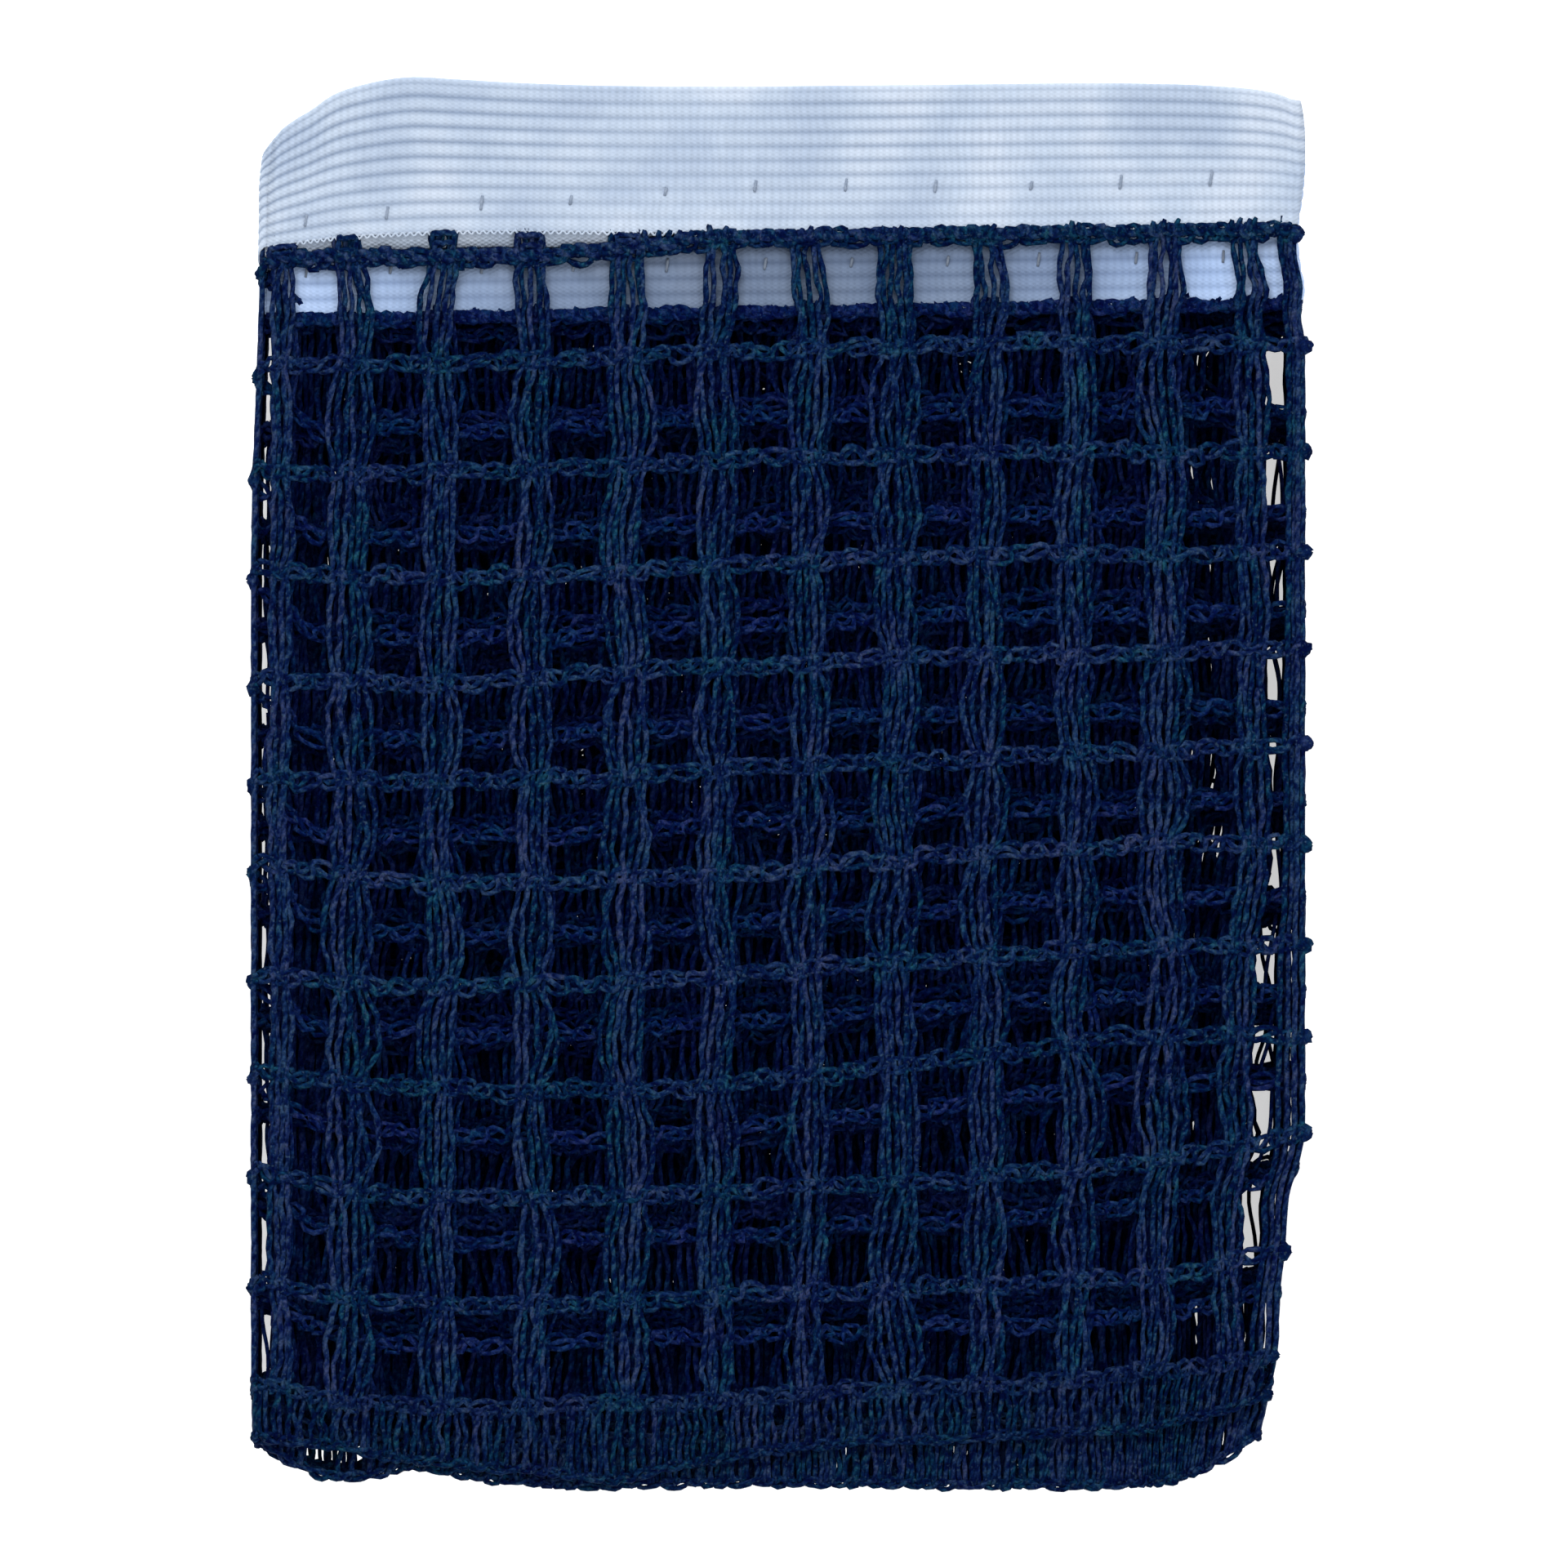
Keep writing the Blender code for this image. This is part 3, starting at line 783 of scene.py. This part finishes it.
def netting_bend(k):
    draw, sheaf = random(k, 21), Sheaf()
    for r in range(ROWS - 1):
        chain_on_bend(sheaf, k, r, 5 if k < 3 else 4, draw)
    middle = (LAYER[k] + LAYER[k + 1]) / 2

    def ends(share):
        low = round_bend(lambda n, t: row(n, ROWS - 1, t), k, share)
        high = round_bend(tape_low, k, share)
        return float(low) - 0.8, float(high) + 0.9

    for r in range(ROWS - 1):
        y = float(round_bend(lambda n, t: row(n, r, t), k, 0.5))
        centre = (side_of(k) * (BEND_X + reach(k) * BEND_R), y, middle)
        sheaf.knot(centre, (0.66 if k == 1 else 0.32, 1.0, 0.60), draw.uniform(), draw)
    for number, off in enumerate((-0.30, 0.28)):
        low, high = ends(0.5 + off / BEND_LENGTH)
        y = np.linspace(low, high, int((high - low) / 1.1) + 1)
        angle = -off / BEND_R + wobble((k, number, 13), y, 0.30, (15.0, 8.0, 5.0))
        out = BEND_R - 0.05
        path = np.stack(
            [bend_x(k, out, angle), y, middle + out * np.sin(angle)], axis=-1
        )[None]
        sheaf.tubes(path, YARN_R * (1 + 0.12 * draw.uniform(-1, 1, path.shape[:2])), 5 if k < 3 else 4, (1, 0, 0.3), draw.uniform(0, 1, 1))
    return sheaf


# ------------------------------------------------------------------ what sixteen layers leave open
EYE = (0.63, 0.09, 2600.0)  # where the pack is looked at from: in front of it, and this far from its face
OPEN_STEP = 0.08
OPEN_LOW, OPEN_HIGH = np.array([-46.0, -69.0]), np.array([45.2, 51.0])
CLOSED_BY = (5, 8, 11, 14, 7, 10, 13, 6, 9, 12)  # the inner layers whose yarns have slipped, in turn


def left_open(nets):
    """Where the layers' yarns together leave a hole, away from the ends of the pack."""
    margin = 6
    count = ((OPEN_HIGH - OPEN_LOW) / OPEN_STEP).astype(int) + 2 * margin
    middles = {}
    for sheaf in nets:
        for paths, radius in sheaf.laid:
            ahead = np.diff(paths, axis=1)
            parts = max(1, int(np.linalg.norm(ahead, axis=2).max() / OPEN_STEP) + 1)
            shares = (np.arange(parts) / parts)[:, None]
            points = pulled((paths[:, :-1, None] + ahead[:, :, None] * shares).reshape(-1, 3))
            nearer = EYE[2] / (EYE[2] + LAYER[1] - points[:, 2:])
            seen = EYE[:2] + (points[:, :2] - EYE[:2]) * nearer
            at = np.floor((seen - OPEN_LOW) / OPEN_STEP).astype(int) + margin
            at = at[((at >= margin) & (at < count - margin)).all(axis=1)]
            size = round(radius, 2)
            middles.setdefault(size, np.zeros(count, bool))[at[:, 0], at[:, 1]] = True
    closed = np.zeros(count - 2 * margin, bool)
    for size, grid in middles.items():
        for a in range(-margin, margin + 1):
            for b in range(-margin, margin + 1):
                if math.hypot(a, b) * OPEN_STEP <= size - 0.05:
                    closed |= grid[margin + a : count[0] - margin + a, margin + b : count[1] - margin + b]
    grid = ~closed
    # The smallest pinholes don't show.
    grid[:-1, :-2] &= grid[1:, :-2] & grid[:-1, 1:-1] & grid[1:, 1:-1] & grid[:-1, 2:] & grid[1:, 2:]
    return OPEN_LOW + (np.argwhere(grid) + 0.5) * OPEN_STEP


def close_holes(nets, holes):
    """A yarn of an inner layer has slipped over each of those holes, between the chains above and below it."""
    draw, number = random(0, 27), 0
    while len(holes):
        k = CLOSED_BY[number % len(CLOSED_BY)]
        number += 1
        deeper = (EYE[2] + LAYER[1] - LAYER[k]) / EYE[2]
        place, height = EYE[:2] + (holes[0] - EYE[:2]) * deeper
        place += 0.22
        edges = [float(row(k, r, place)) for r in range(ROWS)]
        r = int(np.clip(sum(e > height for e in edges) - 1, 0, ROWS - 2))
        y = np.linspace(edges[r + 1] + 0.2, edges[r] - 0.2, 12)
        path = np.stack([place + 0 * y, y, LAYER[k] + 0.12 * draw.uniform(-1, 1) + 0 * y], axis=-1)
        for _ in range(4):
            path[:, 0] += place - pulled(path)[:, 0]
        path[:, 0] += 0.03 * np.sin(np.linspace(0, 5, 12) + draw.uniform(0, 6))
        nets[k].tubes(path[None], 0.35, 4, (1, 0, 0), draw.uniform(0, 1, 1))
        seen = EYE[:2] + (np.array([[place - 0.24, y[0]], [place + 0.24, y[-1]]]) - EYE[:2]) / deeper
        holes = holes[1:][((holes[1:] < seen[0]) | (holes[1:] > seen[1])).any(axis=1)]


# ------------------------------------------------------------------ the band along the bottom
def band_panel(k):
    shown = k in (1, 2, PANELS)
    sides = 5 if shown else 4
    draw, sheaf = random(k, 22), Sheaf()
    across = 0.42 if shown else 0.65
    free = k in (1, PANELS)
    ends = (-BEND_X, BEND_X + (0.4 if k == 1 else 0.0))
    chain_on_panel(sheaf, k, ROWS - 1, across, sides, draw, ends)
    chain_on_panel(sheaf, k, HEM, across, sides, draw, ends, swing=HEM_SWING, radius=0.30, scallops=0.25)
    gap = 0.80 if k == 1 else 0.54 if k in (2, 3, 4) else 0.80
    for x in np.arange(-BEND_X + 0.2, BEND_X, gap):
        x = x + draw.uniform(-0.20, 0.20)
        if 1 < k < 7 and -52.8 < x < -45.5 and draw.uniform() < 0.6:
            continue
        top, foot = float(row(k, ROWS - 1, x)), float(row(k, HEM, x))
        knots = [(foot, 0.0)]
        for share in (0.3, 0.55, 0.8):
            knots.append((foot + share * (top - foot), 0.34 * draw.uniform(-1, 1)))
        knots.append((top, 0.2 * draw.uniform(-1, 1)))
        y = np.linspace(foot, top, 9 if shown else 6)
        m = 0.16 * draw.uniform(-1, 1)
        path = np.stack([x + through(knots, y), y, LAYER[k] + m + 0 * y], axis=-1)[None]
        sheaf.tubes(path, 0.31 * (1 + 0.16 * draw.uniform(-1, 1, path.shape[:2])), sides, (1, 0, 0), draw.uniform(0, 1, 1))
    if free:
        for r in (ROWS - 1, HEM):
            out = 0.3 if k == 1 else -0.1
            sheaf.knot((BEND_X + out, float(row(k, r, BEND_X)), LAYER[k]), (0.7, 0.8, 0.5), draw.uniform(), draw)
    return sheaf


def band_bend(k):
    draw, sheaf = random(k, 23), Sheaf()
    for r, swing, radius, scallops in ((ROWS - 1, CHAIN_SWING, CHAIN_R, 1.0), (HEM, HEM_SWING, 0.30, 0.25)):
        chain_on_bend(sheaf, k, r, 5 if k < 3 else 4, draw, swing, radius, scallops)
    middle = (LAYER[k] + LAYER[k + 1]) / 2
    for off in (-0.6, 0.45):
        share = 0.5 + off / BEND_LENGTH
        low = float(round_bend(lambda n, t: row(n, HEM, t), k, share))
        high = float(round_bend(lambda n, t: row(n, ROWS - 1, t), k, share))
        y = np.linspace(low, high, 8)
        angle = -off / BEND_R + 0.1 * draw.uniform(-1, 1, 8)
        out = BEND_R - 0.03
        path = np.stack(
            [bend_x(k, out, angle), y, middle + out * np.sin(angle)], axis=-1
        )[None]
        sheaf.tubes(path, 0.31, 5 if k < 3 else 4, (1, 0, 0.3), draw.uniform(0, 1, 1))
    return sheaf


# ------------------------------------------------------------------ the tape
RIBS = 10
LEAF_OUT, LEAF_IN = 0.40, 0.12   # the tape's two leaves lie between these distances from the middle


def tape_section(fine):
    """Round the tape's section: share of the height, distance from the middle, and how deep in a groove."""
    per_rib = 6 if fine else 4
    v = np.linspace(0.0, 1.0, RIBS * per_rib + 1)
    groove = (0.5 + 0.5 * np.cos(2 * np.pi * v * RIBS)) ** 2.8
    groove[0] = 0.0
    groove[-1] = 0.0
    outer = LEAF_OUT - 0.11 * groove
    turn = np.linspace(0, np.pi, 7)[1:-1]
    inner = np.linspace(0.0, 0.985, 8)
    share = np.concatenate([v, 1 + 0 * turn, v[::-1], inner, inner[::-1]])
    m = np.concatenate([outer, LEAF_OUT * np.cos(turn), -outer[::-1], -LEAF_IN + 0 * inner, LEAF_IN + 0 * inner])
    rise = np.concatenate([0 * v, LEAF_OUT * np.sin(turn), 0 * v, 0 * inner, 0 * inner])
    depth = np.concatenate([groove, 0 * turn, groove[::-1], 0 * inner, 0 * inner])
    near = np.clip(1 - v / 0.15, 0, 1)
    hang = np.concatenate([0 * v, 0 * turn, near[::-1], np.clip(1 - inner / 0.15, 0, 1), 0 * inner])
    return share, m, rise, depth, hang


def leaf_drop(k, x):
    """How far the tape's back leaf hangs below its front leaf: it shows towards the left end of the front panel."""
    return (1.7 if k == 1 else 0.0) * (1 - step((np.asarray(x, float) + 21.0) / 10.0))


def tape_ripple(s, share):
    """The tape isn't quite flat."""
    slow = wobble((31,), s, 0.055, (43.0, 27.0, 16.0))[:, None]
    quick = wobble((32,), s, 0.03, (9.0, 6.0))[:, None]
    return slow * np.sin(np.pi * share)[None, :] + quick * share[None, :]


def rib_strength(k, s, share):
    """How strong the painted shade in the grooves is: it shows most towards the front panel's left end, where the tape
    is drawn together, and least near its lower edge.
    """
    left = step((s - 60.0) / 50.0) if k == 1 else 0.45 + 0 * s
    right = step((52.0 - s) / 46.0) if k == 1 else 0 * s
    along = 0.68 + 0.30 * left + 0.14 * right + 0.16 * wobble((33,), s, 1.0, (71.0, 38.0))
    up = 0.55 + 0.45 * step((share - 0.05) * 1.6)
    return np.clip(along[:, None] * (up[None, :] * (1 - 0.5 * left[:, None]) + 0.5 * left[:, None]), 0, 1)


def tape_panel(k):
    fine = k in (1, 2, PANELS)
    share, m, rise, depth, hang = tape_section(fine)
    x = np.linspace(-BEND_X, BEND_X + {1: 0.85, PANELS: 0.4}.get(k, 0.0), 116 if k == 1 else 80 if fine else 60)
    s = strip_place(k, x)
    low, high = tape_low(k, x)[:, None], tape_top(k, x)[:, None] - LEAF_OUT
    y = low + (high - low) * share[None, :] + rise[None, :] - leaf_drop(k, x)[:, None] * hang[None, :]
    normal = m[None, :] + tape_ripple(s, share) * (np.abs(m)[None, :] > 0.2)
    z = LAYER[k] + face(k) * normal
    points = np.stack([x[:, None] + 0 * y, y, z], axis=-1)
    sheaf = Sheaf()
    sheaf.grid(points, 0.5, depth[None, :] * rib_strength(k, s, share))
    return sheaf


def tape_bend(k):
    share, m, rise, depth, hang = tape_section(k in (1, 2))
    arc = np.linspace(0, BEND_LENGTH, 9)
    s = strip_place(k, side_of(k) * BEND_X) + arc
    angle = (np.pi / 2 - arc / BEND_R)[:, None]
    low = round_bend(tape_low, k, arc / BEND_LENGTH)[:, None]
    high = round_bend(tape_top, k, arc / BEND_LENGTH)[:, None] - LEAF_OUT
    y = low + (high - low) * share[None, :] + rise[None, :]
    y = y - leaf_drop(k, side_of(k) * BEND_X) * (1 - step(arc / BEND_LENGTH))[:, None] * hang[None, :]
    normal = m[None, :] + tape_ripple(s, share) * (np.abs(m)[None, :] > 0.2)
    y = y - 0.9 * np.cos(angle) * step((share - 0.6) * 2.5)[None, :]
    out = BEND_R + face(k) * normal
    middle = (LAYER[k] + LAYER[k + 1]) / 2
    points = np.stack([bend_x(k, out, angle), y, middle + out * np.sin(angle)], axis=-1)
    sheaf = Sheaf()
    sheaf.grid(points, 0.5, depth[None, :] * rib_strength(k, s, share))
    return sheaf


def tape_edge(k):
    """The loops of white thread along the tape's lower edge, on both faces."""
    spacing = 0.14 if k in (1, 2) else 0.28
    x = np.linspace(-BEND_X, BEND_X, int(2 * BEND_X / spacing) + 1)
    sheaf, draw = Sheaf(), random(k, 24)
    for way in (1.0, -1.0):
        loops = np.cos(2 * np.pi * x / 0.88 + wobble((k, 34), x, 0.8, (9.0, 5.0)))
        y = tape_low(k, x) - 0.10 + 0.21 * loops
        path = np.stack([x, y, LAYER[k] + way * (0.27 + 0.03 * loops)], axis=-1)[None]
        sheaf.tubes(path, 0.15, 4, (0, 0, 1), draw.uniform(0, 1, 1))
    return sheaf


SEAM = ((-57.0, 61.9), (-52.7, 62.2), (-44.3, 62.9), (-35.2, 64.0), (-24.8, 64.3), (-14.7, 65.2), (-4.3, 65.9), (27.0, 66.0), (47.4, 66.8), (57.0, 67.0))


def seam(k):
    """Where the sewing thread comes to the face of the tape: one short upright stitch each time."""
    sheaf, draw = Sheaf(), random(k, 25)
    for x in np.arange(-52.7, 55.0, 10.05 if k == 1 else 10.2):
        x = x + draw.uniform(-0.5, 0.5)
        middle = float(through(SEAM, x)) if k == 1 else float(tape_low(k, x)) + 4.9
        half = draw.uniform(0.42, 0.78)
        t = np.linspace(-1, 1, 7)
        for way in (1.0, -1.0):
            path = np.stack(
                [x + 0.10 * t * way, middle + half * t, LAYER[k] + way * (0.37 + 0.10 * (1 - t * t))], axis=-1
            )[None]
            sheaf.tubes(path, 0.16, 6, (1, 0, 0), draw.uniform(0, 1, 1))
    return sheaf


def binding(k):
    """The overlock yarn: a knobbly cord of loops along the tape's lower edge, on both faces, whose loops
    carry each ribbon's yarns a little way over the tape."""
    sheaf, draw = Sheaf(), random(k, 26)
    shown = k in (1, 2, PANELS)
    for way in (1.0, -1.0):
        for which in range(3 if shown else 2):
            x = np.linspace(-BEND_X + 0.3, BEND_X - 0.1, int(2 * BEND_X / (0.3 if shown and which < 2 else 0.6)))
            turn = 2 * np.pi * x / 2.7 + wobble((k, 35), x, 0.9, (23.0, 9.0)) + (0.0 if which else np.pi)
            lift = (0.46, 0.46, 0.10)[which] * (1 + wobble((k, which, 36), x, 0.5, (8.0, 5.3))) * np.cos(turn)
            y = through(FRONT_CORD, x) + 0.22 if k == 1 else tape_low(k, x) - 0.42
            y = y + lift + wobble((k, 37), x, 0.12, (13.0, 7.0))
            z = LAYER[k] + way * (0.24 + 0.12 * np.sin(turn))
            path = np.stack([x + (0.3 if which < 2 else 0.0) * np.sin(2 * turn), y, z], axis=-1)[None]
            fat = (0.39, 0.39, 0.36)[which] * (1 + 0.2 * draw.uniform(-1, 1, (1, len(x))))
            sheaf.tubes(path, fat, 5 if shown else 4, (0, 0, 1), draw.uniform(0, 1, 1))
    ribbons = [float(column_x(k, j, 60.0)) for j in range(len(COLUMNS))]
    at = []
    for x in ribbons:
        if leaf_drop(k, x) < 0.3:
            at += [(x + slot + 0.12 * draw.uniform(-1, 1), 0.55) for slot in (-1.25, -0.85, -0.15, 0.45, 1.05)]
            continue
        # Where the cord hangs clear of the tape's edge, each ribbon goes up to it in a ragged arch.
        for half, reached in ((1.22, 1.0), (0.95, 0.55 * draw.uniform(0.6, 1.4))):
            half = half + 0.12 * draw.uniform(-1, 1)
            middle, tall = x + 0.20 * draw.uniform(-1, 1), 0.22 * draw.uniform(-1, 1) - 0.22
            t = np.linspace(0, 1, 15)
            for way in (1.0, -1.0):
                across = middle - half * np.cos(np.pi * np.clip((t - 0.22) / 0.56, 0, 1))
                across = across + wobble((k, round(10 * (x + 60)), round(10 * half), 38), t, 0.16, (0.41, 0.23))
                up = np.clip(1.35 * np.sin(np.pi * t) ** 0.6, 0, 1)
                y = tape_low(k, across) - 2.4 + (2.4 + tall) * up * (reached if reached < 1.0 else 1.0)
                y = y + wobble((k, round(10 * (x + 60)), round(10 * half), 39), t, 0.12, (0.37, 0.19))
                z = LAYER[k] + way * (0.22 + 0.26 * np.sin(np.pi * t) ** 0.7)
                path = np.stack([across, y, z], axis=-1)[None]
                sheaf.tubes(path, 0.34 * (1 + 0.22 * draw.uniform(-1, 1, (1, len(t)))), 5, (0, 0, 1), draw.uniform(0, 1, 1))
    if shown:
        between = np.arange(-BEND_X + 0.4, BEND_X, 1.15)
        at += [(x + 0.15 * draw.uniform(-1, 1), 0.06) for x in between if min(abs(x - c) for c in ribbons) > 1.9]
    for x, tall in at:
        edge = float(tape_low(k, x))
        if tall < 0.1 and leaf_drop(k, x) > 0.5:
            continue
        above = tall * draw.uniform(0.0, 1.35)
        t = np.linspace(0, 1, 6)
        lean = 0.5 * draw.uniform(-1, 1)
        drop = 0.75 + 1.2 * float(leaf_drop(k, x)) / 1.7
        for way in (1.0, -1.0):
            y = edge - drop + (drop + above) * np.sin(t * np.pi / 2)
            z = LAYER[k] + way * (0.20 + 0.26 * np.sin(np.pi * np.clip(t * 1.15, 0, 1)) ** 0.7)
            path = np.stack([x + lean * t, y, z], axis=-1)[None]
            sheaf.tubes(path, 0.33, 5, (1, 0, 0), draw.uniform(0, 1, 1))
    return sheaf


def seam_material(name, depth):
    made, tree, main = shader(name)
    place = tree.nodes.new("ShaderNodeTexCoord").outputs["Object"]
    dark, light = (0.185, 0.230, 0.310), (0.265, 0.315, 0.405)
    colour = ramp(
        tree, noise(tree, place, 2500.0, 2.0),
        (0.3, tuple(c * depth for c in dark)), (0.7, tuple(c * depth for c in light)),
    )
    tree.links.new(colour, main.inputs["Base Color"])
    main.inputs["Roughness"].default_value = 0.7
    main.inputs["Specular IOR Level"].default_value = 0.2
    return made


SEAM_THREAD = seam_material("seam_thread", 1.0)
# painted shade: the inner layers' sewing thread is darker
SEAM_INNER = seam_material("seam_thread_inner_layers_painted_shade", 0.62)

# ------------------------------------------------------------------ build the net
nets = {k: netting_panel(k) for k in range(1, PANELS + 1)}
close_holes(nets, left_open(nets.values()))

for k in range(1, PANELS + 1):
    body, here = f"panel_{k:02d}", f"{k:02d}"
    tape = tape_panel(k).make(f"tape_cloth_{here}", TAPE if k in (1, PANELS) else TAPE_INNER)
    edge = tape_edge(k).make(f"tape_edge_loops_{here}", TAPE if k in (1, PANELS) else TAPE_INNER)
    stitches = seam(k).make(f"seam_thread_{here}", SEAM_THREAD if k in (1, PANELS) else SEAM_INNER)
    loops = binding(k).make(f"binding_loops_{here}", yarn_of(k))
    net = nets[k].make(f"netting_yarns_{here}", yarn_of(k))
    band = band_panel(k).make(f"bottom_band_yarns_{here}", band_of(k))
    for piece in (tape, edge, stitches, loops, net, band):
        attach(piece, body)
    for piece, part, slot in (
        (tape, "tape", "tape"), (edge, None, "tape"), (stitches, None, "tape"),
        (loops, None, "netting"), (net, "netting", "netting"), (band, "bottom_band", "band"),
    ):
        if part:
            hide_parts(f"{part}_{here}")
    with_tape, with_net = [edge, stitches], [loops, band]
    if k < PANELS:
        for made, material, slot, group in (
            (tape_bend(k), TAPE if k == 1 else TAPE_INNER, "tape", with_tape),
            (netting_bend(k), FRONT_YARN if k < 3 else SECOND_YARN, "netting", with_net),
            (band_bend(k), BAND_YARN, "band", with_net),
        ):
            names = {"tape": "tape_bend", "netting": "netting_bend", "band": "bottom_band_bend"}
            piece = made.make(f"{names[slot]}_{here}", material)
            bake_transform(piece)
            group.append(piece)

# ------------------------------------------------------------------ floor, light, camera
bpy.ops.mesh.primitive_plane_add(size=14.0, location=(0.0, 0.0, -0.0001))
floor = bpy.context.object
floor.name = "floor"
floor.data.materials.append(floor_material())

world = bpy.data.worlds.new("studio")
bpy.context.scene.world = world
world.use_nodes = True
world.node_tree.nodes["Background"].inputs["Color"].default_value = (0.98, 0.99, 1.0, 1.0)
world.node_tree.nodes["Background"].inputs["Strength"].default_value = 0.80


def lamp(name, place, size, power):
    data = bpy.data.lights.new(name, "AREA")
    data.shape, data.size, data.energy = "SQUARE", size, power
    made = bpy.data.objects.new(name, data)
    made.location = place
    made.rotation_mode = "QUATERNION"
    made.rotation_quaternion = (-Vector(place)).to_track_quat("-Z", "Y")
    bpy.context.scene.collection.objects.link(made)


lamp("key", (-0.25, 0.95, 0.95), 0.8, 12.0)
lamp("fill", (0.9, -0.7, 1.1), 1.2, 6.0)

FRAME_WIDTH = 0.1728       # what the view takes in at the front panel
camera_data = bpy.data.cameras.new("camera")
camera_data.sensor_width = 36.0
camera_data.lens = 36.0 * EYE[2] * 0.001 / FRAME_WIDTH
camera_data.clip_start, camera_data.clip_end = 0.1, 60.0
camera = bpy.data.objects.new("camera", camera_data)
camera.location = (EYE[0] * 0.001, EYE[1] * 0.001, (LAYER[1] + EYE[2]) * 0.001)
bpy.context.scene.collection.objects.link(camera)
bpy.context.scene.camera = camera
bpy.context.scene.view_settings.view_transform = "Standard"
bpy.context.scene.view_settings.look = "None"
